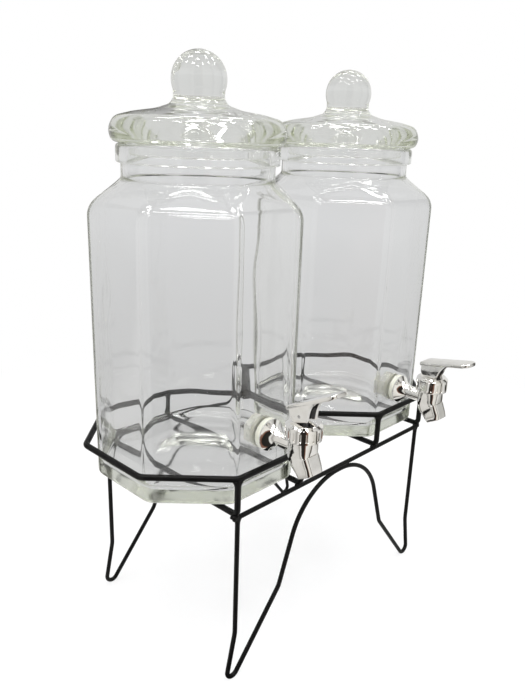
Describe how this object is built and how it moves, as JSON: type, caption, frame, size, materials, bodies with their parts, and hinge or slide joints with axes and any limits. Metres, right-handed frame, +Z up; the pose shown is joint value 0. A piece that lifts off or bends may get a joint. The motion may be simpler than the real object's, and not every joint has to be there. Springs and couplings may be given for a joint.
{
  "type": "double beverage dispenser",
  "caption": "Clear eight-sided glass drink jars with ball-knob lids and chrome lever taps, side by side on a black wire stand with arched legs.",
  "frame": {"origin": "on the table top, under the middle of the stand", "axes": "+Z up, taps towards -Y, the jars side by side along X"},
  "size_m": [0.3516, 0.2393, 0.4722],
  "materials": {
    "black_coat": "satin powder coat",
    "clear_glass": "clear pressed glass",
    "chrome": "bright plating",
    "silicone": "milky, matt",
    "nut_plastic": "milky, matt",
    "stem_plastic": "grey, smooth",
    "steel": "plain"
  },
  "bodies": {
    "stand": {"rail_ring_left": "black_coat", "rail_ring_right": "black_coat", "cradle_wire_left_outer": "black_coat", "cradle_wire_left_inner": "black_coat", "cradle_wire_right_outer": "black_coat", "cradle_wire_right_inner": "black_coat", "front_bar": "black_coat", "rear_bar": "black_coat", "front_leg_wire": "black_coat", "rear_leg_wire": "black_coat"},
    "jar_left": {"jar_left": "clear_glass", "tap_body_left": "chrome", "tap_bonnet_left": "chrome", "outer_washer_left": "silicone", "inner_washer_left": "silicone", "shank_nut_left": "nut_plastic"},
    "lid_left": {"lid_left": "clear_glass"},
    "seat_left": {"seat_cup_left": "silicone"},
    "stem_left": {"tap_stem_left": "stem_plastic", "lever_pin_left": "steel"},
    "lever_left": {"tap_lever_left": "chrome"},
    "jar_right": {"jar_right": "clear_glass", "tap_body_right": "chrome", "tap_bonnet_right": "chrome", "outer_washer_right": "silicone", "inner_washer_right": "silicone", "shank_nut_right": "nut_plastic"},
    "lid_right": {"lid_right": "clear_glass"},
    "seat_right": {"seat_cup_right": "silicone"},
    "stem_right": {"tap_stem_right": "stem_plastic", "lever_pin_right": "steel"},
    "lever_right": {"tap_lever_right": "chrome"}
  },
  "joints": [
    {"name": "jar_lift_left", "type": "slide", "parent": "stand", "child": "jar_left", "axis": [0, 0, 1], "range_m": [0, 0.15]},
    {"name": "lid_lift_left", "type": "slide", "parent": "jar_left", "child": "lid_left", "axis": [0, 0, 1], "range_m": [0, 0.1]},
    {"name": "seat_lift_left", "type": "slide", "parent": "jar_left", "child": "seat_left", "axis": [0, 0, 1], "range_m": [-0.0009, 0.0033], "deforming": ["seat_cup_left"]},
    {"name": "lever_swivel_left", "type": "hinge", "parent": "seat_left", "child": "stem_left", "pos_m": [-0.0878, -0.115, 0.202], "axis": [0, 0, 1], "range_deg": [-90, 90]},
    {"name": "lever_tilt_left", "type": "hinge", "parent": "stem_left", "child": "lever_left", "pos_m": [-0.0878, -0.115, 0.2288], "axis": [-1, 0, 0], "range_deg": [-15, 55], "stiffness_Nm_per_rad": 0.06},
    {"name": "jar_lift_right", "type": "slide", "parent": "stand", "child": "jar_right", "axis": [0, 0, 1], "range_m": [0, 0.15]},
    {"name": "lid_lift_right", "type": "slide", "parent": "jar_right", "child": "lid_right", "axis": [0, 0, 1], "range_m": [0, 0.1]},
    {"name": "seat_lift_right", "type": "slide", "parent": "jar_right", "child": "seat_right", "axis": [0, 0, 1], "range_m": [0, 0.0042], "deforming": ["seat_cup_right"]},
    {"name": "lever_swivel_right", "type": "hinge", "parent": "seat_right", "child": "stem_right", "pos_m": [0.0878, -0.115, 0.194], "axis": [0, 0, 1], "range_deg": [-90, 90]},
    {"name": "lever_tilt_right", "type": "hinge", "parent": "stem_right", "child": "lever_right", "pos_m": [0.0878, -0.115, 0.2199], "axis": [-1, 0, 0], "range_deg": [0, 70], "stiffness_Nm_per_rad": 0.06}
  ],
  "couplings": [
    {"joint": "lever_tilt_left", "follows": "seat_lift_left", "rad_per_m": 290.7},
    {"joint": "lever_tilt_right", "follows": "seat_lift_right", "rad_per_m": 290.7}
  ]
}
